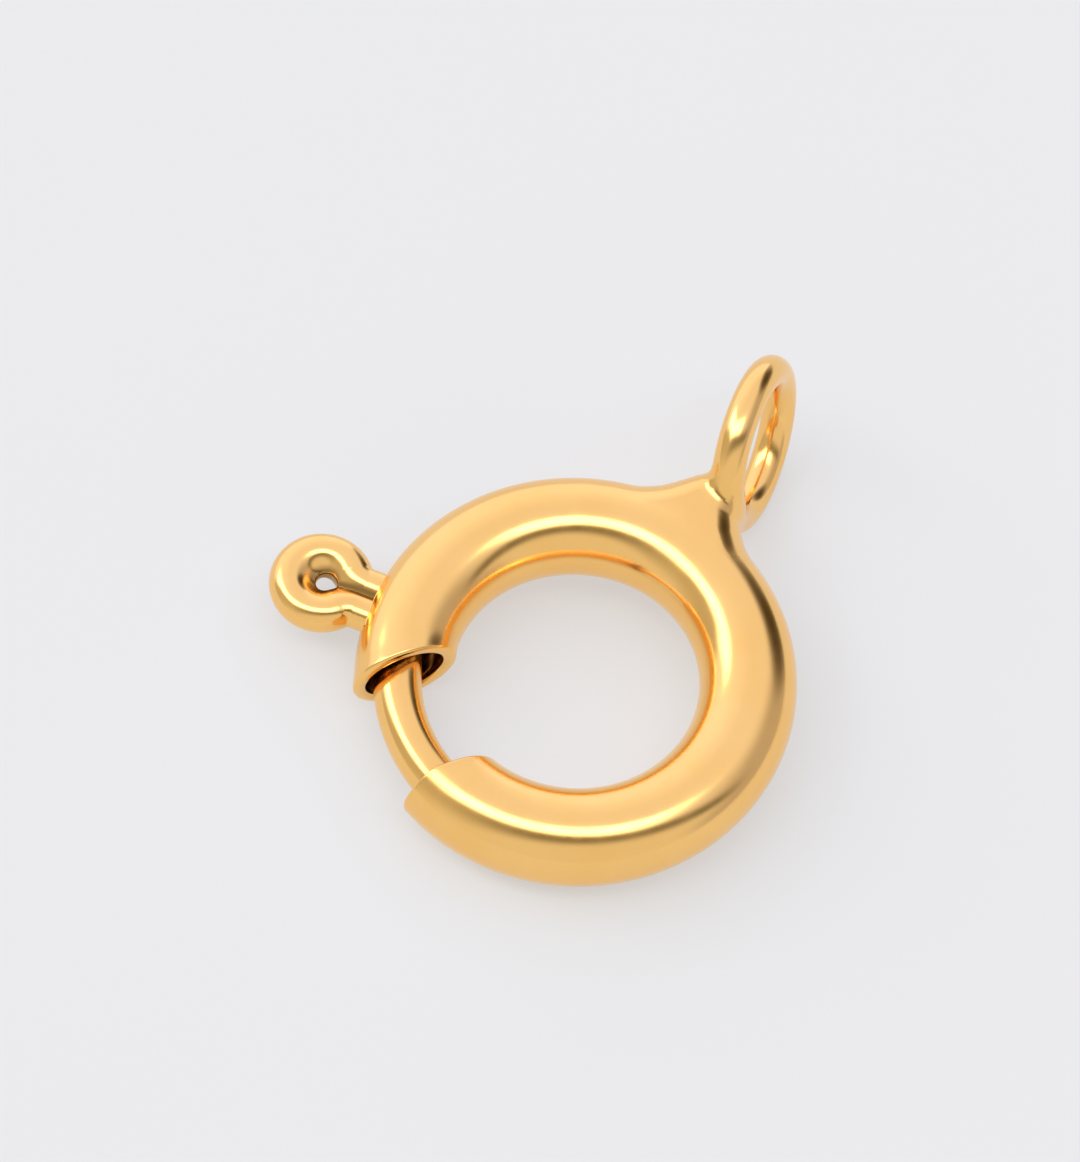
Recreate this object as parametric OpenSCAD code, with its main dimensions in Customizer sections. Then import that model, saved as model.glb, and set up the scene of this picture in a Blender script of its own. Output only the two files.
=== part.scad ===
// Sailor clasp: a round hollow ring with a gap that a sprung, curved bolt closes.
// The bolt is drawn back round the ring by its keyhole trigger, and a wire loop on the ring takes the chain.
// Lengths are in millimetres and angles in degrees. The ring's centre is the origin and its foot points along +Y.
// Everything is drawn in the ring's own plane, then tipped as the clasp lies on a table: on the ring's far edge
// and on the end loop, which is taller than the ring's tube is thick.

/* [Ring] */
// Outer diameter of the ring
ring_outer_d = 13; // [12:0.5:15]
// Diameter of the ring's tube
tube_d = 2.87; // [2.8:0.01:2.95]
// Thickness of the tube's wall
wall = 0.2; // [0.16:0.01:0.22]
// Width of the gap, which has parallel sides
gap_w = 3.64; // [3.2:0.02:3.8]
// Angle of the gap's middle round the ring, from +X
gap_at = 236.4; // [235:0.1:238]

/* [Bolt and trigger] */
// Diameter of the bolt's rod
rod_d = 1.43; // [1.36:0.01:1.46]
// How much further out than the tube's middle the rod runs
rod_offset = 0.17; // [0.1:0.01:0.2]
// How far the rod's tip reaches into the far end of the tube
tip_reach = 0.9; // [0.6:0.05:1.1]
// Diameter of the rod's thin tail, which runs on inside the spring
tail_d = 1.1; // [0.9:0.05:1.2]
// Angle of the trigger round the ring, from +X
trigger_at = 193.7; // [193:0.1:195]
// How far the bolt turns back when it is open
open_angle = 52; // [48:1:54]
// Diameter of the trigger's wire round its eye
trigger_wire_d = 1.16; // [1.1:0.02:1.2]
// Diameter of the trigger's wire at its legs
leg_wire_d = 1.04; // [0.96:0.02:1.08]
// Distance from the ring's middle to the middle of the trigger's eye
trigger_dist = 8.08; // [8:0.02:8.3]
// Radius of the wire's middle line round the trigger's eye
trigger_eye_r = 0.98; // [0.94:0.01:1.04]
// Distance between the middle lines of the trigger's two legs
leg_spacing = 0.9; // [0.8:0.02:0.94]
// Radius of the bend between each leg and the eye
leg_bend_r = 0.75; // [0.7:0.01:0.8]

/* [End loop and foot] */
// Radius of the loop's middle line
loop_r = 2.24; // [2.1:0.01:2.4]
// Diameter of the loop's wire
loop_wire_d = 1; // [0.9:0.02:1.1]
// Distance from the ring's middle to the loop's middle
loop_dist = 9.46; // [9.38:0.01:9.54]
// How far the loop's middle stands to the side
loop_side = -0.36; // [-0.4:0.02:0]
// Turn of the loop about the ring's axis, from square across the ring's tube
loop_turn = 15.6; // [0:0.2:16]
// Lean of the loop's axis up from the ring's plane
loop_lean = 8.4; // [0:0.1:9]
// How far the foot's middle stands to the side
foot_side = -0.28; // [-0.4:0.02:0]
// Half the foot's width where the loop sits
foot_neck = 0.82; // [0.78:0.01:0.9]
// Radius of the hollow fillet at the foot's sides
foot_fillet = 2.3; // [2:0.05:2.4]

/* [Spring] */
// Diameter of the spring's wire
spring_wire_d = 0.2; // [0.16:0.02:0.22]
// Number of turns
spring_turns = 20; // [16:1:22]

/* [Hidden] */
$fn = 40;

tube_r = tube_d / 2;
bore_r = tube_r - wall;
ring_r = ring_outer_d / 2 - tube_r;
rod_r = rod_d / 2;
rod_run_r = ring_r + rod_offset;
trigger_wire_r = trigger_wire_d / 2;
leg_wire_r = leg_wire_d / 2;
loop_wire_r = loop_wire_d / 2;
spring_wire_r = spring_wire_d / 2;
cut_over = 1;

// Where the gap's sides cross the tube's middle line, and how far the rod reaches. A ball a little thinner than the
// rod rounds its tip.
tip_step = 0.02;
gap_half_angle = asin(gap_w / 2 / ring_r);
tip_at = gap_at + gap_half_angle + arc_angle(tip_reach, ring_r);
rod_end_at = tip_at - arc_angle(rod_r - tip_step, rod_run_r);

// The legs' outer sides, seen from the ring's middle at the tube's bore, and the slot that they run in
leg_clear = 0.07;
leg_side = leg_spacing / 2 + leg_wire_r;
slot_half_h = leg_wire_r + leg_clear;
slot_inner_r = ring_r + sqrt(bore_r * bore_r - slot_half_h * slot_half_h);
leg_half_angle = asin(leg_side / slot_inner_r);
slot_margin = leg_half_angle + arc_angle(leg_clear, slot_inner_r);

// Middle of the bend between a leg and the eye, which touches both
bend_side = leg_spacing / 2 + leg_bend_r;
bend_back = sqrt(pow(trigger_eye_r + leg_bend_r, 2) - bend_side * bend_side);
bend_dist = trigger_dist - bend_back;
bend_turn = 90 - atan2(bend_side, bend_back);

// The legs are pressed flat against each other, with a hairline between them
leg_hairline = 0.03;

// Steps along half the trigger's wire: [middle x, middle y, heading, wire radius], from the rod to the eye's far side
trigger_sides = 14;
bend_steps = 5;
eye_steps = 11;
trigger_steps = concat(
    [[rod_run_r, leg_spacing / 2, 0, leg_wire_r]],
    [for (i = [0 : bend_steps])
        let (turn = bend_turn * i / bend_steps)
        [bend_dist + leg_bend_r * sin(turn), bend_side - leg_bend_r * cos(turn), turn,
            leg_wire_r + (trigger_wire_r - leg_wire_r) * i / bend_steps]],
    [for (i = [1 : eye_steps])
        let (turn = bend_turn - (bend_turn + 90) * i / eye_steps)
        [trigger_dist - trigger_eye_r * sin(turn), trigger_eye_r * cos(turn), turn, trigger_wire_r]]
);

// The rod ends behind the legs, and its tail runs on inside the spring, which pushes on the legs
tail_len = 0.8;
rod_overrun = 0.02;
rod_from = trigger_at - asin((leg_side + rod_overrun) / rod_run_r);
tail_from = rod_from - arc_angle(tail_len, rod_run_r);

// A thin disc across the bore, on which the spring rests
stop_at = 28;
stop_w = 0.4;
spring_clear = 0.115;
spring_coil_r = bore_r - spring_clear - spring_wire_r;
spring_seat = 0.05;
spring_from = stop_at + arc_angle(spring_seat + spring_wire_r, ring_r - spring_coil_r);
spring_to = trigger_at - asin((leg_side + spring_seat + spring_wire_r) / (ring_r - spring_coil_r));
spring_steps = 14;
spring_sides = 5;

// The foot is lofted through ellipses, from inside the tube out to the loop's wire. It is nearly as tall as the tube,
// so that it leaves the tube's top and bottom almost flush.
foot_steps = 10;
foot_sides = 28;
foot_sink = 0.9;
foot_len = 1.25;
foot_from = ring_r + bore_r - foot_sink;
foot_to = ring_outer_d / 2 + foot_len;
foot_neck_h = 1.25;
foot_fillet_h = 2.4;
// The length over which the foot's end is rounded, and how much of its half-width that takes off, squared
foot_crown = 1.2;
foot_crown_share = 0.65;

// Tilt at which the ring's far edge and the end loop both touch the table
loop_reach = loop_r * cos(loop_lean) + loop_wire_r;
rest_tilt = asin((loop_reach - tube_r) / (loop_dist + ring_r));

function arc_angle(len, r) = len / r * 180 / PI;

// A hollow fillet of radius r between a straight side, w from the foot's middle line, and a circle of radius c whose
// middle lies on that line: the distance of the fillet's own middle from the circle's, along the line, and the foot's
// half-width at a distance s from the circle's middle. It stays the same further in than where fillet and circle touch.
function fillet_middle(w, r, c) = sqrt((c + r) * (c + r) - (w + r) * (w + r));
function fillet_half_width(s, w, r, c) =
    let (middle = fillet_middle(w, r, c))
    let (away = min(middle - s, middle * r / (c + r)))
    away <= 0 ? w : w + r - sqrt(r * r - away * away);

// Half the foot's width round the ring, and half its height across the ring's plane, at a distance s out
function foot_half_width(s) = fillet_half_width(s, foot_neck, foot_fillet, ring_outer_d / 2) * foot_taper(s);
function foot_half_height(s) = fillet_half_width(s - ring_r, foot_neck_h, foot_fillet_h, tube_r) * foot_taper(s);
// Rounds the foot's end over into the loop's wire
function foot_taper(s) =
    let (over = max(0, s - (foot_to - foot_crown)) / foot_crown)
    sqrt(1 - foot_crown_share * over * over);

// A point on the trigger's wire: side is 1 or -1 on the two sides of its middle plane and 0 on it
function trigger_point(step, side, angle) =
    let (out = step[3] * cos(angle))
    let (away = max(step[1] + out * cos(step[2]), leg_hairline / 2))
    [step[0] - out * sin(step[2]), side * away, step[3] * sin(angle)];

function ring_point(r, at, z) = [r * cos(at), r * sin(at), z];

// A point on the spring's wire: turn counts its turns, and side is the angle round the wire
function spring_point(turn, side) =
    let (at = spring_from + (spring_to - spring_from) * turn / spring_turns)
    let (coil = spring_coil_r + spring_wire_r * cos(side))
    let (along = arc_angle(spring_wire_r * sin(side), ring_r))
    ring_point(ring_r + coil * cos(360 * turn), at + along, coil * sin(360 * turn));

// Faces of a closed skin over rings of points, each with the same number of points
function skin_faces(rings, sides) = concat(
    [[for (j = [sides - 1 : -1 : 0]) j]],
    [for (i = [0 : rings - 2], j = [0 : sides - 1])
        [i * sides + j, i * sides + (j + 1) % sides, (i + 1) * sides + (j + 1) % sides, (i + 1) * sides + j]],
    [[for (j = [0 : sides - 1]) (rings - 1) * sides + j]]
);

// A part of a round bar bent round the Z axis, over an angle that starts at from
module bent_bar(bend_r, bar_r, from, sweep) {
    rotate_extrude(angle = sweep, start = from)
        translate([bend_r, 0])
            circle(r = bar_r);
}

// Moves the origin to an angle round the ring, with X pointing away from the ring's middle
module ring_spot(r, at) {
    rotate([0, 0, at])
        translate([r, 0, 0])
            children();
}

module as_it_lies() {
    rotate([rest_tilt, 0, 0])
        children();
}

module foot() {
    rings = [for (i = [0 : foot_steps]) foot_from + (foot_to - foot_from) * i / foot_steps];
    points = [for (s = rings, j = [0 : foot_sides - 1])
        let (a = 360 * j / foot_sides)
        [foot_side + foot_half_width(s) * cos(a), s, foot_half_height(s) * sin(a)]];
    polyhedron(points = points, faces = skin_faces(len(rings), foot_sides));
}

module end_loop() {
    translate([loop_side, loop_dist, 0])
        rotate([0, -loop_lean, loop_turn])
            rotate([0, 90, 0])
                rotate_extrude()
                    translate([loop_r, 0])
                        circle(r = loop_wire_r);
}

module gap_cut() {
    gap_from = (ring_r - tube_r) / 2;
    rotate([0, 0, gap_at])
        translate([gap_from, -gap_w / 2, -tube_r - cut_over])
            cube([ring_outer_d, gap_w, 2 * (tube_r + cut_over)]);
}

module slot_cut() {
    rotate_extrude(angle = open_angle + 2 * slot_margin, start = trigger_at - open_angle - slot_margin)
        translate([ring_r + bore_r / 2, -slot_half_h])
            square([tube_r, 2 * slot_half_h]);
}

module bore_cut() {
    stop_angle = arc_angle(stop_w, ring_r);
    bent_bar(ring_r, bore_r, stop_at, 360 - stop_angle);
}

module ring_case() {
    color("goldenrod")
        as_it_lies() {
            difference() {
                union() {
                    bent_bar(ring_r, tube_r, 0, 360);
                    foot();
                }
                bore_cut();
                gap_cut();
                slot_cut();
            }
            end_loop();
        }
}

// One wire swept from the rod, round the eye and back to the rod
module trigger() {
    steps = concat(trigger_steps, [for (i = [len(trigger_steps) - 2 : -1 : 0]) trigger_steps[i]]);
    middle = len(trigger_steps) - 1;
    points = [for (i = [0 : len(steps) - 1], j = [0 : trigger_sides - 1])
        trigger_point(steps[i], sign(middle - i), -360 * j / trigger_sides)];
    rotate([0, 0, trigger_at])
        polyhedron(points = points, faces = skin_faces(len(steps), trigger_sides));
}

module bolt() {
    color("gold")
        as_it_lies() {
            bent_bar(rod_run_r, rod_r, rod_from, rod_end_at - rod_from);
            bent_bar(rod_run_r, tail_d / 2, tail_from, trigger_at - tail_from);
            ring_spot(rod_run_r, rod_end_at)
                sphere(r = rod_r - tip_step);
            trigger();
        }
}

module spring() {
    rings = spring_turns * spring_steps;
    points = [for (i = [0 : rings], j = [0 : spring_sides - 1])
        spring_point(i / spring_steps, 360 * j / spring_sides)];
    color("silver")
        as_it_lies()
            polyhedron(points = points, faces = skin_faces(rings + 1, spring_sides));
}

ring_case();
bolt();
spring();
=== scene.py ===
"""Looks of the sailor clasp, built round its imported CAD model.

The clasp's own frame, the ring frame, has the ring's centre as its origin, the end loop along +Y and the
ring's axis along +Z. Lengths in it are millimetres and angles are degrees, as in part.scad. The row frame is
the ring frame tipped by REST_TILT about +X, in metres.
"""

import math

import bpy
import numpy as np
from mathutils import Matrix, Vector


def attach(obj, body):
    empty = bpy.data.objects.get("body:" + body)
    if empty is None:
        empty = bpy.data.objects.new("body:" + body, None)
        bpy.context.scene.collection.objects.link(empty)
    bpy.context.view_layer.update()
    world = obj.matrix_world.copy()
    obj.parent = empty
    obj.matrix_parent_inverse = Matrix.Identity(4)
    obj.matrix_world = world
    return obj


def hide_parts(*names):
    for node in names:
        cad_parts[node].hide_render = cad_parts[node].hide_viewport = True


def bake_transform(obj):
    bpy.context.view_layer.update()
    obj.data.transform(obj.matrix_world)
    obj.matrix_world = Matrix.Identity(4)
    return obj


MM = 0.001
FULL_TURN = 360.0


def arc_angle(length, radius):
    """The angle that an arc of that length spans."""
    return math.degrees(length / radius)


def arcsine(sine):
    """The angle that has that sine."""
    return math.degrees(math.asin(sine))


# Sizes of the CAD model, as part.scad has them and works them out

RING_OUTER_R = 6.5
TUBE_R = 1.435
WALL = 0.2
GAP_HALF_W = 1.82
GAP_AT = 236.4
BORE_R = TUBE_R - WALL
RING_R = RING_OUTER_R - TUBE_R
GAP_HALF_ANGLE = arcsine(GAP_HALF_W / RING_R)

STOP_TO = 28.0
STOP_W = 0.4
STOP_FROM = STOP_TO - arc_angle(STOP_W, RING_R)

ROD_R = 0.715
ROD_OFFSET = 0.17
TIP_REACH = 0.9
TIP_STEP = 0.02
TAIL_R = 0.55
ROD_RUN_R = RING_R + ROD_OFFSET
ROD_TIP_AT = GAP_AT + GAP_HALF_ANGLE + arc_angle(TIP_REACH, RING_R) - arc_angle(ROD_R - TIP_STEP, ROD_RUN_R)
# Middles of the round back ends of rod and tail
ROD_BACK_AT = 190.5
TAIL_BACK_AT = 180.0

TRIGGER_AT = 193.7
OPEN_ANGLE = 52.0
LEG_SIDE = 0.45
LEG_R = 0.52
LEG_CLEAR = 0.07
BEND_R = 0.75
EYE_DIST = 8.08
EYE_R = 0.98
EYE_WIRE_R = 0.58
BEND_SIDE = LEG_SIDE + BEND_R
BEND_BACK = math.sqrt((EYE_R + BEND_R) ** 2 - BEND_SIDE**2)
BEND_DIST = EYE_DIST - BEND_BACK
BEND_TURN = 90.0 - math.degrees(math.atan2(BEND_SIDE, BEND_BACK))

SLOT_HALF_H = LEG_R + LEG_CLEAR
SLOT_INNER_R = RING_R + math.sqrt(BORE_R**2 - SLOT_HALF_H**2)
SLOT_MARGIN = arcsine((LEG_SIDE + LEG_R) / SLOT_INNER_R) + arc_angle(LEG_CLEAR, SLOT_INNER_R)
SLOT_FROM = TRIGGER_AT - OPEN_ANGLE - SLOT_MARGIN
SLOT_TO = TRIGGER_AT + SLOT_MARGIN

LOOP_R = 2.24
LOOP_WIRE_R = 0.5
LOOP_DIST = 9.46
LOOP_SIDE = -0.36
LOOP_TURN = 15.6
LOOP_LEAN = 8.4

FOOT_SIDE = -0.28
FOOT_SINK = 0.9
FOOT_LEN = 1.25
FOOT_NECK = 0.82
FOOT_FILLET = 2.3
FOOT_NECK_H = 1.25
FOOT_FILLET_H = 2.4
FOOT_CROWN = 1.2
FOOT_CROWN_SHARE = 0.65
FOOT_FROM = RING_R + BORE_R - FOOT_SINK
FOOT_TO = RING_OUTER_R + FOOT_LEN

COIL_TURNS = 20
COIL_WIRE_R = 0.1
COIL_CLEAR = 0.115
COIL_SEAT = 0.05
COIL_R = BORE_R - COIL_CLEAR - COIL_WIRE_R
COIL_END_GAP = COIL_SEAT + COIL_WIRE_R
COIL_FROM = STOP_TO + arc_angle(COIL_END_GAP, RING_R - COIL_R)
COIL_TO = TRIGGER_AT - arcsine((LEG_SIDE + LEG_R + COIL_END_GAP) / (RING_R - COIL_R))

# The tilt at which the ring's far edge and the end loop both touch the table, and the table's height
LOOP_REACH = LOOP_R * math.cos(math.radians(LOOP_LEAN)) + LOOP_WIRE_R
REST_TILT = arcsine((LOOP_REACH - TUBE_R) / (LOOP_DIST + RING_R))
FLOOR_Z = -RING_R * math.sin(math.radians(REST_TILT)) - TUBE_R

# Forms that only the scene has

# The lower lip is filed back on the ring's outside and stands out a little on its inside. FILED_FROM is the
# share of the tube's radius at which the filed part starts.
FILED_BACK = 0.25
FILED_PROUD = 0.07
FILED_FROM = 0.2
# The upper lip flares a little, and its rim is rolled inward
FLARE = 0.05
FLARE_REACH = 0.45
ROLL = 0.22
ROLL_REACH = 0.25
# How far each lip's round edge bulges into the gap
LOW_LIP_ROUND = 0.08
HIGH_LIP_ROUND = 0.14

# Solder closes the trigger's eye down to a small round hole, and the fork between its legs
WEB_HALF_H = 0.12
WEB_R = 0.9
WEB_FILLET = 0.4
HOLE_DIST = 7.88
HOLE_R = 0.38
HOLE_FILLET = 0.1
FORK_DIST = 7.1
FORK_HALF_LEN = 0.9
ROD_FILLET = 0.1

# The solder fillet between foot and loop, and the fillet between foot and tube, which grows over a stretch
# outward from its start and fades towards its sides
LOOP_FILLET = 0.45
TUBE_FILLET = 0.25
TUBE_FILLET_LEAST = 0.01
TUBE_FILLET_FROM = 5.45
TUBE_FILLET_GROWS = 0.9
TUBE_FILLET_HALF_W = 2.1
TUBE_FILLET_FADES = 0.8

# The patch of tube round the foot stands out of the tube by a hair, and its edges dive into the tube's wall
PATCH_PROUD = 0.002
PATCH_SINK = 0.05
PATCH_FLAT_HALF_W = 2.5
PATCH_SIDE_FADE = 0.4
PATCH_FLAT_FROM = 5.2
PATCH_END_FADE = 0.35
PATCH_HALF_W = 3.0
PATCH_FROM = 4.8
PATCH_TO = 6.6
PATCH_INNER_R = BORE_R + 0.05

# Numbers of points: rows round the tube, and rings of points along it. The rings crowd towards the lips.
SLOT_ROWS = 14
OTHER_ROWS = 88
ROWS = SLOT_ROWS + OTHER_ROWS
LIP_STEPS = 14
LIP_CROWDING = 1.3
LIP_ROUND_STEPS = 9
PLAIN_STEPS = 190
SLOT_STEPS = 72
COIL_STEPS = 28
COIL_SIDES = 10

# Boxes and cell of the skinned distance fields
FOOT_BOX = ((-3.4, 4.7, -2.9), (2.9, 12.4, 2.9))
BOLT_BOX = ((-9.8, -6.2, -0.9), (0.0, 1.0, 0.9))
SKIN_CELL = 0.04

# Colours and glosses

GOLD_DEEP = (0.98, 0.575, 0.18)
GOLD_PALE = (1.0, 0.615, 0.215)
# Painted shade: the darker gold that the recesses of the bore, eye and groove are mixed towards
GOLD_PAINTED_SHADE = (0.4, 0.23, 0.07)
GOLD_GLOSS = (0.136, 0.2)
STEEL_DARK = (0.5, 0.49, 0.47)
STEEL_PALE = (0.62, 0.61, 0.6)
STEEL_GLOSS = (0.22, 0.36)
FLOOR_TONE = 0.3
FLOOR_TONE_DRIFT = 1.01
FLOOR_GLOW = 0.48
FLOOR_HALF = 0.6

# The photograph's view: the clasp's turn about the ring's axis, the camera's angle over the ring's plane, its
# roll, the width that it takes in at the clasp, and its aim, to the right of the ring's centre and above it
PHOTO_TURN = 32.0
PHOTO_LIFT = 63.7
PHOTO_ROLL = -4.48
PHOTO_FIELD = 34.08
PHOTO_AIM = (-1.047, 2.927)
CAMERA_DISTANCE = 350.0
CAMERA_SENSOR = 36.0
CAMERA_CLIP = 0.01

TILT = Matrix.Rotation(math.radians(REST_TILT), 3, "X")
PHOTO_AXES = TILT @ Matrix.Rotation(math.radians(PHOTO_TURN), 3, "Z")


# Geometry helpers


def smooth(t):
    """A smooth step from 0 to 1 as t goes from 0 to 1."""
    t = np.clip(t, 0.0, 1.0)
    return t * t * (3.0 - 2.0 * t)


def ring_points(dist, at, z):
    """Points of the ring frame from their distance from the ring's axis, angle round it and height."""
    turn = np.radians(at)
    return np.stack(np.broadcast_arrays(dist * np.cos(turn), dist * np.sin(turn), z), -1)


def to_row(points):
    """Ring frame in millimetres to row frame in metres."""
    return np.asarray(points, float) @ np.array(TILT).T * MM


def make_object(name, points, faces, normals=None):
    """A smooth-shaded mesh object from points and outward normals in the ring frame."""
    mesh = bpy.data.meshes.new(name)
    mesh.from_pydata(to_row(points).tolist(), [], [list(map(int, f)) for f in faces])
    mesh.validate()
    mesh.polygons.foreach_set("use_smooth", [True] * len(mesh.polygons))
    if normals is not None:
        mesh.normals_split_custom_set_from_vertices((normals @ np.array(TILT).T).tolist())
    mesh.update()
    made = bpy.data.objects.new(name, mesh)
    bpy.context.scene.collection.objects.link(made)
    return made


# Meshes from distance fields

CELL_CORNERS = tuple(np.ndindex(2, 2, 2))
TINY = 1e-12


def field_slope(field, points, reach=0.002):
    """The field's gradient at each point, by central differences."""
    slope = np.empty_like(points)
    for axis in range(3):
        step = np.zeros(3)
        step[axis] = reach
        slope[:, axis] = (field(points + step) - field(points - step)) / (2.0 * reach)
    return slope


def onto_surface(field, points, cell, rounds=4, least_square=0.05):
    """The points, moved down the field's slope onto its zero level, by half a cell at most in each round."""
    for _ in range(rounds):
        slope = field_slope(field, points)
        move = (field(points) / np.maximum((slope**2).sum(1), least_square))[:, None] * slope
        length = np.linalg.norm(move, axis=1, keepdims=True)
        points = points - move * np.minimum(1.0, 0.5 * cell / np.maximum(length, TINY))
    return points


def cell_points(value, cells):
    """For each cell that the surface crosses, the mean of the places where it crosses the cell's edges."""
    total = np.zeros((len(cells), 3))
    count = np.zeros(len(cells))
    for a in CELL_CORNERS:
        for axis in range(3):
            if a[axis]:
                continue
            b = tuple(c + (n == axis) for n, c in enumerate(a))
            near = value[tuple((cells + a).T)]
            far = value[tuple((cells + b).T)]
            crossed = (near < 0.0) != (far < 0.0)
            spot = np.tile(np.array(a, float), (crossed.sum(), 1))
            spot[:, axis] += near[crossed] / (near[crossed] - far[crossed])
            total[crossed] += spot
            count[crossed] += 1
    return cells + total / count[:, None]


def edge_faces(inside, index, axis):
    """A face round each crossed grid edge along the axis, over the points of the edge's four cells."""
    side, up = (axis + 1) % 3, (axis + 2) % 3
    first = [slice(None)] * 3
    second = [slice(None)] * 3
    first[axis] = slice(None, -1)
    second[axis] = slice(1, None)
    edges = np.argwhere(inside[tuple(first)] != inside[tuple(second)])
    rising = inside[tuple(first)][tuple(edges.T)]
    around = []
    for side_step, up_step in ((-1, -1), (0, -1), (0, 0), (-1, 0)):
        spot = edges.copy()
        spot[:, side] += side_step
        spot[:, up] += up_step
        around.append(index[tuple(spot.T)])
    quads = np.stack(around, 1)
    quads[~rising] = quads[~rising][:, ::-1]
    return quads


def skin_of(field, box, cell, shade=None):
    """Skins the zero level of a distance field over a grid of cells.

    Every cell that the surface crosses gets one point, which is then moved onto the surface, and every grid
    edge that it crosses gets a face. Returns points, faces and unit normals. The normals are those of the
    field shade.
    """
    axes = [np.arange(low, high + cell, cell) for low, high in zip(*box)]
    grid = np.stack(np.meshgrid(*axes, indexing="ij"), -1)
    value = field(grid.reshape(-1, 3)).reshape(grid.shape[:3])
    inside = value < 0.0

    filled = np.zeros([n - 1 for n in inside.shape], np.int8)
    for corner in CELL_CORNERS:
        filled += inside[tuple(slice(c, n - 1 + c) for c, n in zip(corner, inside.shape))]
    cells = np.argwhere((filled > 0) & (filled < len(CELL_CORNERS)))
    index = np.full(filled.shape, -1, int)
    index[tuple(cells.T)] = np.arange(len(cells))

    points = onto_surface(field, np.array(box[0]) + cell_points(value, cells) * cell, cell)
    faces = np.concatenate([edge_faces(inside, index, axis) for axis in range(3)])
    normals = field_slope(shade or field, points)
    normals /= np.linalg.norm(normals, axis=1, keepdims=True)
    return points, faces, normals


def joined(a, b, reach):
    """The union of two distance fields, with a fillet of that reach between them."""
    share = np.clip(0.5 + 0.5 * (b - a) / reach, 0.0, 1.0)
    return b + (a - b) * share - reach * share * (1.0 - share)


def to_arc(x, y, z, middle, arc_r, start, end):
    """The distance to a part of a circle in the XY plane, and the angle of the circle's nearest point."""
    dx, dy = x - middle[0], y - middle[1]
    half = (start + end) / 2.0
    turn = np.mod(np.degrees(np.arctan2(dy, dx)) - half + 180.0, FULL_TURN) - 180.0 + half
    turn = np.clip(turn, start, end)
    nx = arc_r * np.cos(np.radians(turn))
    ny = arc_r * np.sin(np.radians(turn))
    return np.sqrt((dx - nx) ** 2 + (dy - ny) ** 2 + z**2), turn


# The ring's tube: a sheet that goes from the stop disc out along the bore, round the lower lip, along the
# outside, round the upper lip and back along the bore to the disc's other face. Angles along it start at the
# lower lip and run on past a full turn.

LOW_LIP_AT = GAP_AT + GAP_HALF_ANGLE
DISC_FROM = STOP_FROM + FULL_TURN
DISC_TO = STOP_TO + FULL_TURN
DISC_CLEAR = 2.0
SLOT_START = SLOT_FROM + FULL_TURN
SLOT_END = SLOT_TO + FULL_TURN
HIGH_LIP_AT = GAP_AT + FULL_TURN - GAP_HALF_ANGLE
LIP_REACH = HIGH_LIP_AT - SLOT_END


def row_angles(radius):
    """Angles round the tube of its rows of points: across the slot from edge to edge, then round the rest."""
    edge = arcsine(SLOT_HALF_H / radius)
    return np.concatenate([
        np.linspace(-edge, edge, SLOT_ROWS, endpoint=False),
        np.linspace(edge, FULL_TURN - edge, OTHER_ROWS, endpoint=False),
    ])


def station_angles():
    """Angles round the ring of the rings of points along the tube's outside, from lip to lip."""
    return np.concatenate([
        LOW_LIP_AT + LIP_REACH * np.linspace(0.0, 1.0, LIP_STEPS, endpoint=False) ** LIP_CROWDING,
        np.linspace(LOW_LIP_AT + LIP_REACH, SLOT_START, PLAIN_STEPS, endpoint=False),
        np.linspace(SLOT_START, SLOT_END, SLOT_STEPS, endpoint=False),
        SLOT_END + LIP_REACH * (1.0 - np.linspace(1.0, 0.0, LIP_STEPS + 1) ** LIP_CROWDING),
    ])


def tube_points(base, share, bulge):
    """The tube's points, a ring of them for each row of base, share and bulge.

    These are the ring's angle, its share of the way from the bore to the outside, and how far it bulges into
    the gap round a lip. Near a lip the rings lean until they are parallel to the gap's sides.
    """
    turn = np.radians(row_angles(TUBE_R) * share + row_angles(BORE_R) * (1.0 - share))
    cosine, sine = np.cos(turn), np.sin(turn)
    tube = BORE_R + WALL * share
    dist = RING_R + tube * cosine
    near_low = np.clip(1.0 - (base - LOW_LIP_AT) / LIP_REACH, 0.0, 1.0)
    near_high = np.clip(1.0 - (HIGH_LIP_AT - base) / LIP_REACH, 0.0, 1.0)
    lean = np.degrees(np.arcsin(GAP_HALF_W / dist)) - GAP_HALF_ANGLE

    filed_stretch = 1.0 - FILED_FROM
    back = FILED_BACK * smooth((cosine - FILED_FROM) / filed_stretch)
    proud = FILED_PROUD * smooth(-cosine / filed_stretch)
    at = base + near_low * (lean + np.degrees((back - proud) / dist)) - near_high * lean
    round_depth = np.where(base > SLOT_START, HIGH_LIP_ROUND, LOW_LIP_ROUND)
    at += np.degrees((bulge - (near_high - near_low)) * round_depth / dist)

    to_lip = np.maximum(np.radians(HIGH_LIP_AT - lean - at) * dist, 0.0)
    flare = FLARE * np.exp(-((to_lip / FLARE_REACH) ** 2))
    roll = ROLL * (1.0 - share) * np.exp(-((to_lip / ROLL_REACH) ** 2))
    tube = tube + np.where(base > SLOT_START, flare - roll, 0.0)
    return ring_points(RING_R + tube * cosine, at, tube * sine).reshape(-1, 3)


def grid_face(*corners):
    """A face of the tube's sheet, whose corners are each a ring and a row."""
    return tuple(ring * ROWS + row for ring, row in corners)


def slot_faces(outside, within):
    """The slot's walls, which join its edge on the outside to its edge in the bore."""
    faces = []
    for a, b, c, d in zip(outside, outside[1:], within[1:], within):
        for row, way in ((0, 1), (SLOT_ROWS, -1)):
            faces.append(grid_face((a, row), (b, row), (c, row), (d, row))[::way])
    for row in range(SLOT_ROWS):
        for end, way in ((0, -1), (-1, 1)):
            a, b = outside[end], within[end]
            faces.append(grid_face((a, row), (a, row + 1), (b, row + 1), (b, row))[::way])
    return faces


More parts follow.
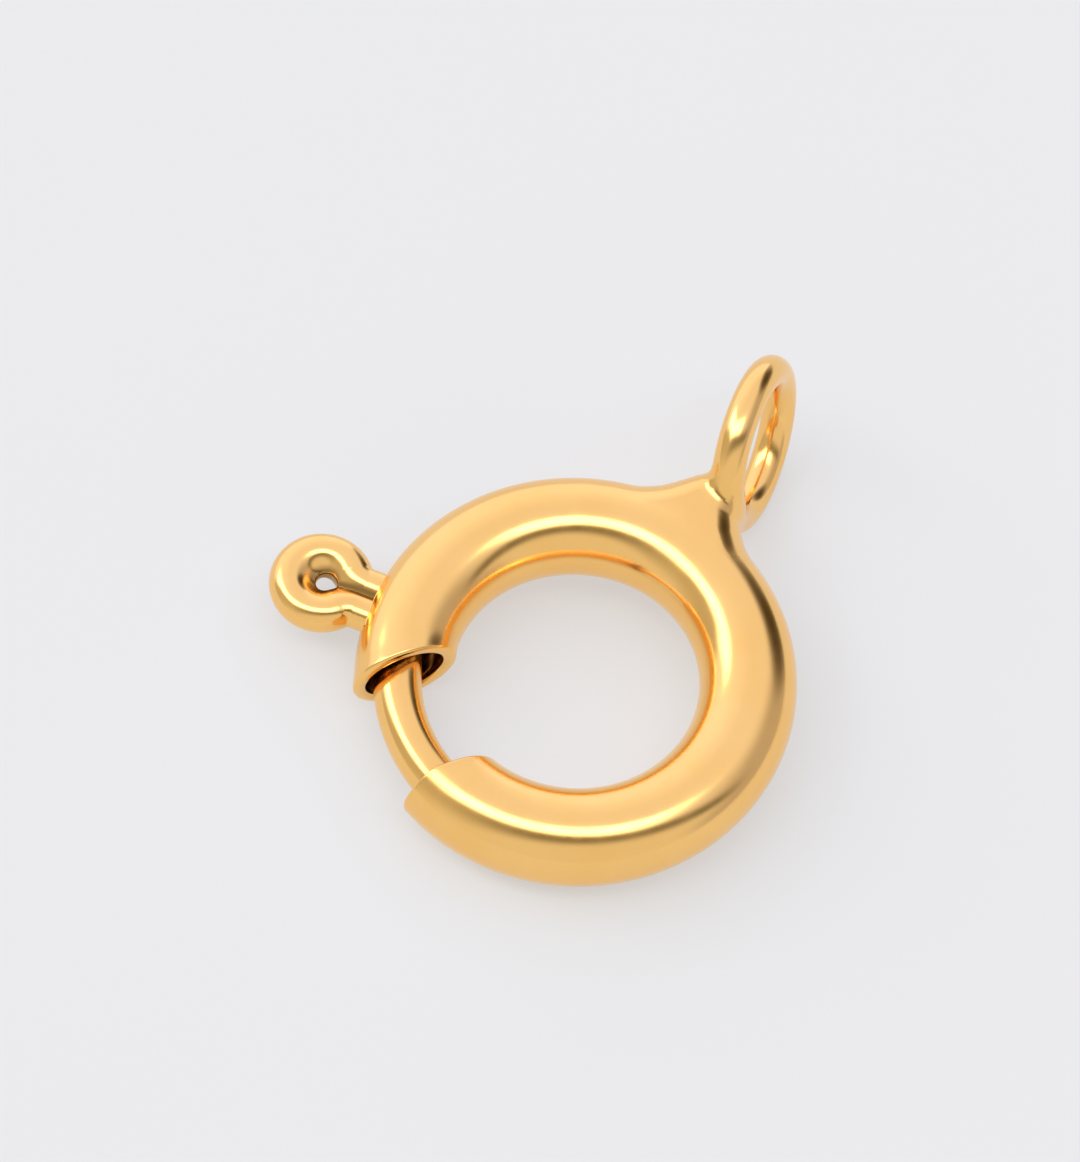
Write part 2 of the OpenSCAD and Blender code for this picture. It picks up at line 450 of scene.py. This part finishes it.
def tube_mesh():
    """Points and faces of the ring's tube, in the ring frame."""
    along = station_angles()
    lip = np.radians(np.linspace(0.0, 180.0, LIP_ROUND_STEPS + 2)[1:-1])
    parts = [
        (DISC_FROM, 0.0, 0.0),
        (along[along < DISC_FROM - DISC_CLEAR][::-1], 0.0, 0.0),
        (LOW_LIP_AT, (1.0 - np.cos(lip)) / 2.0, -np.sin(lip)),
        (along, 1.0, 0.0),
        (HIGH_LIP_AT, (1.0 + np.cos(lip)) / 2.0, np.sin(lip)),
        (along[along > DISC_TO + DISC_CLEAR][::-1], 0.0, 0.0),
        (DISC_TO, 0.0, 0.0),
    ]
    parts = [np.stack(np.broadcast_arrays(*np.atleast_1d(*part)), -1) for part in parts]
    outside_start = sum(map(len, parts[:3]))
    bore_start = sum(map(len, parts[:5]))
    base, share, bulge = np.concatenate(parts).T[:, :, None]
    points = tube_points(base, share, bulge)

    # The rings of points along the slot, on the outside and in the bore, where they run the other way
    slot = range(LIP_STEPS + PLAIN_STEPS, LIP_STEPS + PLAIN_STEPS + SLOT_STEPS + 1)
    outside = [outside_start + n for n in slot]
    within = [bore_start + len(along) - 1 - n for n in slot]
    slotted = set(outside[:-1] + within[1:])
    faces = []
    for ring in range(len(base) - 1):
        for row in range(SLOT_ROWS if ring in slotted else 0, ROWS):
            beside = (row + 1) % ROWS
            faces.append(grid_face((ring, row), (ring, beside), (ring + 1, beside), (ring + 1, row)))
    faces += slot_faces(outside, within)

    # The stop disc's two faces close the sheet
    for ring, way in ((0, 1), (len(base) - 1, -1)):
        middle = len(points)
        points = np.vstack([points, ring_points(RING_R, base[ring, 0], 0.0)])
        for row in range(ROWS):
            faces.append((middle, *grid_face((ring, (row + 1) % ROWS), (ring, row)))[::way])
    return points, faces


# The foot and the end loop


def fillet_half_width(s, half, fillet, circle):
    """A neck's half-width at a distance s from a circle's middle, with a hollow fillet against the circle."""
    middle = np.sqrt((circle + fillet) ** 2 - (half + fillet) ** 2)
    away = np.clip(middle - s, 0.0, middle * fillet / (circle + fillet))
    return half + fillet - np.sqrt(fillet**2 - away**2)


def foot_field(p):
    """The distance field of the foot: an oval neck, whose hollow sides touch the tube at every height.

    It is scaled down, which widens the fillets on it, and near the neck's middle line it is level. The least
    values and the crown's end only keep roots and shares in range where there is no foot.
    """
    scale, deep_share, deep_level = 0.6, 0.2, -0.6
    crown_end, least_half, least_circle, least_share = 1.04, 0.2, 0.1, 1e-6
    s, z = p[:, 1], np.abs(p[:, 2])
    flat = np.sqrt(p[:, 0] ** 2 + s**2)
    over = np.clip((s - FOOT_TO + FOOT_CROWN) / FOOT_CROWN, 0.0, crown_end)
    taper = np.sqrt(1.0 - FOOT_CROWN_SHARE * over**2)
    high = fillet_half_width(flat - RING_R, FOOT_NECK_H, FOOT_FILLET_H, TUBE_R) * taper
    half = FOOT_NECK * np.sqrt(np.clip(1.0 - (z / high) ** 2, least_half**2, 1.0))
    circle = RING_R + np.sqrt(np.maximum(TUBE_R**2 - z**2, least_circle**2))
    from_middle = half + np.where(p[:, 0] < FOOT_SIDE, -FOOT_SIDE, FOOT_SIDE)
    wider = fillet_half_width(s, from_middle, FOOT_FILLET, circle) - from_middle
    x = np.maximum(np.abs(p[:, 0] - FOOT_SIDE) - wider, 0.0)
    share = np.maximum(np.sqrt((x / (FOOT_NECK * taper)) ** 2 + (z / high) ** 2), least_share)
    away = np.where(share < deep_share, deep_level, np.sqrt(x**2 + z**2) * (1.0 - 1.0 / share))
    return np.maximum(scale * away, np.maximum(s - FOOT_TO, FOOT_FROM - flat))


def loop_field(p):
    """The distance field of the end loop's round wire."""
    away = p - np.array((LOOP_SIDE, LOOP_DIST, 0.0))
    lean, turn = math.radians(LOOP_LEAN), math.radians(LOOP_TURN)
    axis = np.array((math.cos(lean) * math.cos(turn), math.cos(lean) * math.sin(turn), math.sin(lean)))
    height = away @ axis
    flat = np.sqrt(np.maximum((away**2).sum(1) - height**2, 0.0))
    return np.sqrt((flat - LOOP_R) ** 2 + height**2) - LOOP_WIRE_R


def tube_distance(p):
    """The distance from the tube's middle line."""
    flat = np.sqrt(p[:, 0] ** 2 + p[:, 1] ** 2)
    return np.sqrt((flat - RING_R) ** 2 + p[:, 2] ** 2)


def tube_fillet(p):
    """The reach of the fillet between foot and tube."""
    grown = smooth((p[:, 1] - TUBE_FILLET_FROM) / TUBE_FILLET_GROWS)
    faded = smooth((TUBE_FILLET_HALF_W - np.abs(p[:, 0] - FOOT_SIDE)) / TUBE_FILLET_FADES)
    return TUBE_FILLET_LEAST + TUBE_FILLET * grown * faded


def foot_and_loop_shade(p):
    """The field whose slope shades the foot: its patch of tube has the tube's own radius."""
    foot = joined(foot_field(p), loop_field(p), LOOP_FILLET)
    return joined(foot, tube_distance(p) - TUBE_R, tube_fillet(p))


def foot_and_loop_field(p):
    """The distance field of the foot, the loop and a patch of tube round the foot."""
    foot = joined(foot_field(p), loop_field(p), LOOP_FILLET)
    aside = np.abs(p[:, 0] - FOOT_SIDE)
    near_side = smooth((aside - PATCH_FLAT_HALF_W) / PATCH_SIDE_FADE)
    near_end = smooth((PATCH_FLAT_FROM - p[:, 1]) / PATCH_END_FADE)
    sink = PATCH_SINK * np.maximum(near_side, near_end) - PATCH_PROUD
    tube = tube_distance(p)
    whole = joined(foot, tube - TUBE_R + sink, tube_fillet(p))
    edge = np.maximum(aside - PATCH_HALF_W, PATCH_FROM - p[:, 1])
    return np.maximum(np.maximum(whole, PATCH_INNER_R - tube), np.where(p[:, 1] < PATCH_TO, edge, -1.0))


# The bolt: its rod, the thin tail behind it and the trigger's wire


def trigger_field(out, side, z):
    """The distance field of the trigger, by distances out, sideways from its middle plane and up."""
    leg_out = np.clip(out, ROD_RUN_R, BEND_DIST)
    leg = np.sqrt((out - leg_out) ** 2 + (side - LEG_SIDE) ** 2 + z**2) - LEG_R
    bend, at = to_arc(out, side, z, (BEND_DIST, BEND_SIDE), BEND_R, -90.0, BEND_TURN - 90.0)
    bend -= LEG_R + (EYE_WIRE_R - LEG_R) * (at + 90.0) / BEND_TURN
    eye, _ = to_arc(out, side, z, (EYE_DIST, 0.0), EYE_R, 0.0, 90.0 + BEND_TURN)
    wire = np.minimum(np.minimum(leg, bend), eye - EYE_WIRE_R)

    in_eye = np.sqrt((out - EYE_DIST) ** 2 + side**2) - WEB_R
    in_fork = np.maximum(side - LEG_SIDE, np.abs(out - FORK_DIST) - FORK_HALF_LEN)
    plate = np.maximum(np.abs(z) - WEB_HALF_H, np.minimum(in_eye, in_fork))
    hole = np.sqrt((out - HOLE_DIST) ** 2 + side**2) - HOLE_R
    web = -joined(-plate, hole, HOLE_FILLET)
    return joined(wire, web, WEB_FILLET)


def bolt_field(p):
    """The distance field of the whole bolt."""
    x, y, z = p.T
    rod, _ = to_arc(x, y, z, (0.0, 0.0), ROD_RUN_R, ROD_BACK_AT, ROD_TIP_AT)
    tail, _ = to_arc(x, y, z, (0.0, 0.0), ROD_RUN_R, TAIL_BACK_AT, TRIGGER_AT)
    turn = math.radians(TRIGGER_AT)
    out = x * math.cos(turn) + y * math.sin(turn)
    side = np.abs(-x * math.sin(turn) + y * math.cos(turn))
    return joined(np.minimum(rod - ROD_R, tail - TAIL_R), trigger_field(out, side, z), ROD_FILLET)


# The spring


def coil_mesh():
    """Points and faces of the coil spring's round wire."""
    steps = COIL_TURNS * COIL_STEPS
    turn = np.linspace(0.0, FULL_TURN * COIL_TURNS, steps + 1)[:, None]
    side = np.radians(np.arange(COIL_SIDES) * FULL_TURN / COIL_SIDES)[None, :]
    coil = COIL_R + COIL_WIRE_R * np.cos(side)
    at = COIL_FROM + (COIL_TO - COIL_FROM) * turn / (FULL_TURN * COIL_TURNS)
    at = at + np.degrees(COIL_WIRE_R * np.sin(side) / RING_R)
    dist = RING_R + coil * np.cos(np.radians(turn))
    points = ring_points(dist, at, coil * np.sin(np.radians(turn))).reshape(-1, 3)
    faces = []
    for i in range(steps):
        here, there = i * COIL_SIDES, (i + 1) * COIL_SIDES
        for j in range(COIL_SIDES):
            k = (j + 1) % COIL_SIDES
            faces.append((here + j, here + k, there + k, there + j))
    faces.append(tuple(range(COIL_SIDES))[::-1])
    faces.append(tuple(steps * COIL_SIDES + j for j in range(COIL_SIDES)))
    return points, faces


# Shader node helpers. A source is a socket or, where it is the same everywhere, a number or a colour.


def grey(value):
    """A grey colour of that brightness."""
    return (value, value, value)


def add_node(tree, kind, **values):
    """A new shader node, with properties or input values set by name."""
    node = tree.nodes.new(kind)
    for name, value in values.items():
        if name in node.inputs:
            node.inputs[name].default_value = value
        else:
            setattr(node, name, value)
    return node


def math_in(tree, kind, *sources):
    """A math node's value."""
    node = add_node(tree, "ShaderNodeMath", operation=kind)
    for socket, source in zip(node.inputs, sources):
        if isinstance(source, float):
            socket.default_value = source
        else:
            tree.links.new(source, socket)
    return node.outputs["Value"]


def rise(tree, source, start, end):
    """A smooth rise from 0 to 1 as a value goes from start to end, which may lie either way."""
    node = add_node(tree, "ShaderNodeMapRange", interpolation_type="SMOOTHSTEP")
    node.inputs["From Min"].default_value = min(start, end)
    node.inputs["From Max"].default_value = max(start, end)
    node.inputs["To Min"].default_value = 0.0 if start < end else 1.0
    node.inputs["To Max"].default_value = 1.0 if start < end else 0.0
    tree.links.new(source, node.inputs["Value"])
    return node.outputs["Result"]


def ramp(tree, source, low, high):
    """A colour between two stops, each a value and its colour."""
    node = add_node(tree, "ShaderNodeValToRGB")
    for element, (place, colour) in zip(node.color_ramp.elements, (low, high)):
        element.position = place
        element.color = (*colour, 1.0)
    tree.links.new(source, node.inputs["Fac"])
    return node.outputs["Color"]


def mixed(tree, under, share, over):
    """One colour laid over another, by a share of it."""
    node = add_node(tree, "ShaderNodeMix", data_type="RGBA")
    tree.links.new(share, node.inputs["Factor"])
    sockets = [socket for socket in node.inputs if socket.type == "RGBA"]
    for socket, source in zip(sockets, (under, over)):
        if isinstance(source, tuple):
            socket.default_value = (*source, 1.0)
        else:
            tree.links.new(source, socket)
    return next(output for output in node.outputs if output.type == "RGBA")


def noise(tree, place, **values):
    """A noise texture's value at a place on the piece."""
    node = add_node(tree, "ShaderNodeTexNoise", **values)
    tree.links.new(place, node.inputs["Vector"])
    return node.outputs["Fac"]


def ring_axes(tree, place):
    """Places on a piece in the ring frame: its x, y and z in millimetres."""
    turned = add_node(tree, "ShaderNodeVectorRotate", rotation_type="X_AXIS", Angle=math.radians(-REST_TILT))
    tree.links.new(place, turned.inputs["Vector"])
    scale = add_node(tree, "ShaderNodeVectorMath", operation="SCALE", Scale=1.0 / MM)
    tree.links.new(turned.outputs["Vector"], scale.inputs[0])
    split = add_node(tree, "ShaderNodeSeparateXYZ")
    tree.links.new(scale.outputs["Vector"], split.inputs["Vector"])
    return [split.outputs[axis] for axis in "XYZ"]


def out_along(tree, x, y, at):
    """How far places lie from the ring's middle in the direction of an angle round the ring."""
    x_part = math_in(tree, "MULTIPLY", x, math.cos(math.radians(at)))
    y_part = math_in(tree, "MULTIPLY", y, math.sin(math.radians(at)))
    return math_in(tree, "ADD", x_part, y_part)


def length_of(tree, *parts):
    """The length of a vector from its parts."""
    squares = [math_in(tree, "MULTIPLY", part, part) for part in parts]
    total = squares[0]
    for square in squares[1:]:
        total = math_in(tree, "ADD", total, square)
    return math_in(tree, "SQRT", total)


def new_material(name):
    """An empty node material, its tree, its Principled shader and the place on the piece."""
    material = bpy.data.materials.new(name)
    material.use_nodes = True
    tree = material.node_tree
    place = add_node(tree, "ShaderNodeTexCoord").outputs["Object"]
    return material, tree, tree.nodes["Principled BSDF"], place


# Materials


def bore_painted_shade(tree, place):
    """1 on the tube's bore, where shade is painted into the colour, and 0 on its outside and near the gap."""
    # Painted shade: the bore is darkened, and the shade fades out beside the gap
    bore_full_shade_to, bore_no_shade_from = 1.26, 1.32
    no_shade_beside_gap, full_shade_beside_gap = GAP_HALF_W + 0.15, GAP_HALF_W + 0.5
    x, y, z = ring_axes(tree, place)
    flat = math_in(tree, "SUBTRACT", length_of(tree, x, y), RING_R)
    bore = rise(tree, length_of(tree, flat, z), bore_no_shade_from, bore_full_shade_to)
    from_gap = out_along(tree, x, y, GAP_AT + 90.0)
    away_from_gap = rise(tree, length_of(tree, from_gap), no_shade_beside_gap, full_shade_beside_gap)
    return math_in(tree, "MULTIPLY", bore, away_from_gap)


def keyhole_painted_shade(tree, place):
    """1 in the trigger's eye and in the groove between its legs, where shade is painted into the colour."""
    # Painted shade: the eye and the groove between the legs are darkened
    eye_dist, eye_full_shade_to, eye_no_shade_from = 7.98, 0.38, 0.66
    groove_dist, groove_full_shade_to, groove_no_shade_from = 7.0, 0.7, 1.0
    side_full_shade_to, side_no_shade_from = 0.07, 0.2
    x, y, z = ring_axes(tree, place)
    out = out_along(tree, x, y, TRIGGER_AT)
    side = out_along(tree, x, y, TRIGGER_AT + 90.0)
    from_eye = math_in(tree, "SUBTRACT", out, eye_dist)
    eye = rise(tree, length_of(tree, from_eye, side, z), eye_no_shade_from, eye_full_shade_to)
    from_groove = math_in(tree, "SUBTRACT", out, groove_dist)
    groove = math_in(
        tree, "MULTIPLY",
        rise(tree, length_of(tree, side), side_no_shade_from, side_full_shade_to),
        rise(tree, length_of(tree, from_groove), groove_no_shade_from, groove_full_shade_to),
    )
    return math_in(tree, "MAXIMUM", eye, groove)


def gold_material(name, painted_shade):
    """Polished 14 karat gold, whose tone and gloss drift a little and whose surface is very finely grained.

    The function passed in gives the recesses where shade is painted into the colour, which are darker.
    """
    material, tree, shader, place = new_material(name)
    shader.inputs["Metallic"].default_value = 1.0
    tone = noise(tree, place, Scale=420.0, Detail=3.0, Roughness=0.55)
    colour = ramp(tree, tone, (0.3, GOLD_DEEP), (0.7, GOLD_PALE))
    # Painted shade: the recesses are mixed towards a darker gold
    colour = mixed(tree, colour, painted_shade(tree, place), GOLD_PAINTED_SHADE)
    tree.links.new(colour, shader.inputs["Base Color"])

    wear = noise(tree, place, Scale=1500.0, Detail=4.0, Roughness=0.6)
    gloss = ramp(tree, wear, (0.3, grey(GOLD_GLOSS[0])), (0.75, grey(GOLD_GLOSS[1])))
    tree.links.new(gloss, shader.inputs["Roughness"])

    grain = noise(tree, place, Scale=9000.0, Detail=5.0, Roughness=0.6)
    fine = add_node(tree, "ShaderNodeBump", Strength=0.12, Distance=2e-6)
    tree.links.new(grain, fine.inputs["Height"])
    tree.links.new(fine.outputs["Normal"], shader.inputs["Normal"])
    return material


def steel_material():
    """Drawn stainless wire, whose tone and gloss vary finely."""
    material, tree, shader, place = new_material("spring_wire")
    shader.inputs["Metallic"].default_value = 1.0
    drawn = noise(tree, place, Scale=7000.0, Detail=4.0, Roughness=0.6)
    tree.links.new(ramp(tree, drawn, (0.3, STEEL_DARK), (0.7, STEEL_PALE)), shader.inputs["Base Color"])
    gloss = ramp(tree, drawn, (0.3, grey(STEEL_GLOSS[0])), (0.7, grey(STEEL_GLOSS[1])))
    tree.links.new(gloss, shader.inputs["Roughness"])
    return material


def floor_material():
    """A plain pale tabletop, with a glow of its own so that shadows on it stay faint."""
    material, tree, shader, place = new_material("tabletop")
    cloud = noise(tree, place, Scale=60.0, Detail=2.0)
    colour = ramp(tree, cloud, (0.3, grey(FLOOR_TONE)), (0.7, grey(FLOOR_TONE * FLOOR_TONE_DRIFT)))
    tree.links.new(colour, shader.inputs["Base Color"])
    shader.inputs["Roughness"].default_value = 0.9
    shader.inputs["Specular IOR Level"].default_value = 0.1
    shader.inputs["Emission Color"].default_value = (*grey(1.0), 1.0)
    shader.inputs["Emission Strength"].default_value = FLOOR_GLOW
    return material


# The studio. Directions are given in the photograph's frame: X to the right, Y away from the camera along the
# ring's plane and Z along the ring's axis. Every direction has two angles: its length, which is its place
# along the softbox from right to left, and its distance from the box's edge, which is more on the camera's
# side. The names that end in FADE are pairs: where a tone starts to show and where it is full.

TOWARDS_CAMERA = (-0.396, -0.888, -0.2356)
LEFTWARD = (-0.918, 0.383, 0.102)

# The softbox's edge peaks towards the camera at PEAK_AT and falls away from it on both sides
BOX_TONE = grey(3.6)
BOX_EDGE_ACROSS = 17.7
PEAK_AT = 30.0
PEAK_LEFT_REACH = 32.0
PEAK_SLOPE = 0.34
BOX_RIGHT_FADE = (-32.0, -10.0)
BOX_LEFT_FADE = (80.0, 66.0)
BOX_FAR_FADE = (-24.5, -17.0)
BOX_EDGE_FADE = (3.5, -8.0)

# The room goes from its right to its left through three tones, and the camera's side of it has one of its own
RIGHT_TONE = (0.54, 0.53, 0.6)
MIDDLE_TONE = (0.94, 0.95, 1.1)
MIDDLE_FADE = (-65.0, -25.0)
LEFT_TONE = (1.16, 1.17, 1.4)
LEFT_FADE = (10.0, 75.0)
NEAR_TONE = grey(0.81)
NEAR_FADE = (0.0, 20.0)

# A round dark flag to the right and far away. Its fade is between cosines of the angle from its middle.
FLAG_TONE = (0.07, 0.055, 0.03)
FLAG_MIDDLE = (0.715, 0.667, 0.208)
FLAG_FADE = (0.905, 1.0)

# The dark band between the softbox and the camera's side of the room widens to the left. It goes over into
# the near tone between two shares of its width.
BAND_RIGHT_TONE = (0.2, 0.19, 0.15)
BAND_LEFT_TONE = (0.57, 0.56, 0.5)
BAND_TONE_FADE = (-10.0, 40.0)
BAND_WIDTH = 29.4
BAND_WIDENS = 0.27
BAND_LEAST_WIDTH = 10.0
BAND_RIGHT_FADE = (-80.0, -55.0)
BAND_LEFT_FADE = (140.0, 100.0)
BAND_EDGE_FADE = (-6.0, 4.0)
BAND_NEAR_FADE = (0.32, 1.15)


def along_in(tree, view, vector):
    """How far each direction points along a vector of the photograph's frame."""
    node = add_node(tree, "ShaderNodeVectorMath", operation="DOT_PRODUCT")
    tree.links.new(view, node.inputs[0])
    node.inputs[1].default_value = (PHOTO_AXES @ Vector(vector)).normalized()
    return node.outputs["Value"]


def box_angles(tree, view):
    """Each direction's place along the softbox, its angle across it, and its angle from the box's edge."""
    upward = Vector(LEFTWARD).cross(Vector(TOWARDS_CAMERA))
    turn = math_in(tree, "ARCTAN2", along_in(tree, view, LEFTWARD), along_in(tree, view, upward))
    length = math_in(tree, "MULTIPLY", turn, math.degrees(1.0))
    lift = math_in(tree, "ARCSINE", along_in(tree, view, TOWARDS_CAMERA))
    across = math_in(tree, "MULTIPLY", lift, math.degrees(1.0))

    from_peak = math_in(tree, "SUBTRACT", length, PEAK_AT)
    right_of_peak = math_in(tree, "MULTIPLY", from_peak, -1.0)
    away = math_in(tree, "MAXIMUM", right_of_peak, math_in(tree, "MINIMUM", from_peak, PEAK_LEFT_REACH))
    from_edge = math_in(tree, "SUBTRACT", across, BOX_EDGE_ACROSS)
    from_box = math_in(tree, "ADD", from_edge, math_in(tree, "MULTIPLY", away, PEAK_SLOPE))
    return length, across, from_box


def softbox_share(tree, length, from_box):
    """How far each direction lies in the softbox."""
    right, left = rise(tree, length, *BOX_RIGHT_FADE), rise(tree, length, *BOX_LEFT_FADE)
    far, near = rise(tree, from_box, *BOX_FAR_FADE), rise(tree, from_box, *BOX_EDGE_FADE)
    ends = math_in(tree, "MULTIPLY", far, near)
    return math_in(tree, "MULTIPLY", ends, math_in(tree, "MULTIPLY", right, left))


def with_dark_band(tree, room, length, from_box):
    """The room with its dark band."""
    right, left = rise(tree, length, *BAND_RIGHT_FADE), rise(tree, length, *BAND_LEFT_FADE)
    edge = rise(tree, from_box, *BAND_EDGE_FADE)
    share = math_in(tree, "MULTIPLY", edge, math_in(tree, "MULTIPLY", right, left))
    widening = math_in(tree, "MULTIPLY", length, BAND_WIDENS)
    width = math_in(tree, "MAXIMUM", math_in(tree, "ADD", widening, BAND_WIDTH), BAND_LEAST_WIDTH)
    near = rise(tree, math_in(tree, "DIVIDE", from_box, width), *BAND_NEAR_FADE)
    tone = mixed(tree, BAND_RIGHT_TONE, rise(tree, length, *BAND_TONE_FADE), BAND_LEFT_TONE)
    return mixed(tree, room, share, mixed(tree, tone, near, NEAR_TONE))


def studio_world():
    """A soft studio as seen from the object: a pale room, one softbox overhead, and darker flags."""
    world = bpy.data.worlds.new("studio")
    bpy.context.scene.world = world
    world.use_nodes = True
    tree = world.node_tree
    view = add_node(tree, "ShaderNodeTexCoord").outputs["Generated"]
    length, across, from_box = box_angles(tree, view)

    room = mixed(tree, RIGHT_TONE, rise(tree, length, *MIDDLE_FADE), MIDDLE_TONE)
    room = mixed(tree, room, rise(tree, length, *LEFT_FADE), LEFT_TONE)
    room = mixed(tree, room, rise(tree, along_in(tree, view, FLAG_MIDDLE), *FLAG_FADE), FLAG_TONE)
    room = mixed(tree, room, rise(tree, across, *NEAR_FADE), NEAR_TONE)
    sky = with_dark_band(tree, room, length, from_box)
    sky = mixed(tree, sky, softbox_share(tree, length, from_box), BOX_TONE)
    back = tree.nodes["Background"]
    tree.links.new(sky, back.inputs["Color"])
    back.inputs["Strength"].default_value = 1.0


def place_camera():
    """A long lens at the photograph's viewing angle."""
    lift, roll = math.radians(PHOTO_LIFT), math.radians(PHOTO_ROLL)
    right = Vector((1.0, 0.0, 0.0))
    up = Vector((0.0, math.sin(lift), math.cos(lift)))
    out = Vector((0.0, -math.cos(lift), math.sin(lift)))
    image_right = math.cos(roll) * right - math.sin(roll) * up
    image_up = math.sin(roll) * right + math.cos(roll) * up
    spot = PHOTO_AIM[0] * image_right + PHOTO_AIM[1] * image_up + CAMERA_DISTANCE * out

    axes = Matrix([PHOTO_AXES @ image_right, PHOTO_AXES @ image_up, PHOTO_AXES @ out]).transposed()
    data = bpy.data.cameras.new("camera")
    data.sensor_width = CAMERA_SENSOR
    data.lens = CAMERA_SENSOR * CAMERA_DISTANCE / PHOTO_FIELD
    data.clip_start = CAMERA_CLIP
    camera = bpy.data.objects.new("camera", data)
    camera.matrix_world = Matrix.LocRotScale(PHOTO_AXES @ spot * MM, axes.to_quaternion(), None)
    bpy.context.scene.collection.objects.link(camera)
    bpy.context.scene.camera = camera


def place_floor():
    """The tabletop under the clasp."""
    signs = ((-1, -1), (1, -1), (1, 1), (-1, 1))
    corners = [(x * FLOOR_HALF, y * FLOOR_HALF, FLOOR_Z * MM) for x, y in signs]
    mesh = bpy.data.meshes.new("floor")
    mesh.from_pydata(corners, [], [(0, 1, 2, 3)])
    floor = bpy.data.objects.new("floor", mesh)
    bpy.context.scene.collection.objects.link(floor)
    floor.data.materials.append(floor_material())


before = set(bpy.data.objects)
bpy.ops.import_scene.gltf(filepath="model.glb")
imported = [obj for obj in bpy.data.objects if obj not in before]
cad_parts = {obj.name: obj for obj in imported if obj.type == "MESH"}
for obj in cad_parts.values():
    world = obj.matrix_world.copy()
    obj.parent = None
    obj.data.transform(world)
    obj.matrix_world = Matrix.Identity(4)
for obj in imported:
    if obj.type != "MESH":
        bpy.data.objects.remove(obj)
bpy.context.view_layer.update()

case_gold = gold_material("case_gold", bore_painted_shade)
bolt_gold = gold_material("bolt_gold", keyhole_painted_shade)

tube = make_object("ring_tube", *tube_mesh())
tube.data.materials.append(case_gold)
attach(tube, "case")
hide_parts("ring_case")

foot = make_object("foot_and_loop", *skin_of(foot_and_loop_field, FOOT_BOX, SKIN_CELL, foot_and_loop_shade))
foot.data.materials.append(case_gold)
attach(foot, "case")
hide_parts("ring_case")

bolt = make_object("bolt_and_trigger", *skin_of(bolt_field, BOLT_BOX, SKIN_CELL))
bolt.data.materials.append(bolt_gold)
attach(bolt, "bolt")
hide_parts("bolt")

coil = make_object("coil_spring", *coil_mesh())
coil.data.materials.append(steel_material())
coil_ends = to_row(ring_points(RING_R, np.array([COIL_FROM, COIL_TO]), 0.0))
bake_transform(coil)
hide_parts("spring")

place_floor()
studio_world()
place_camera()
bpy.context.scene.view_settings.view_transform = "Standard"
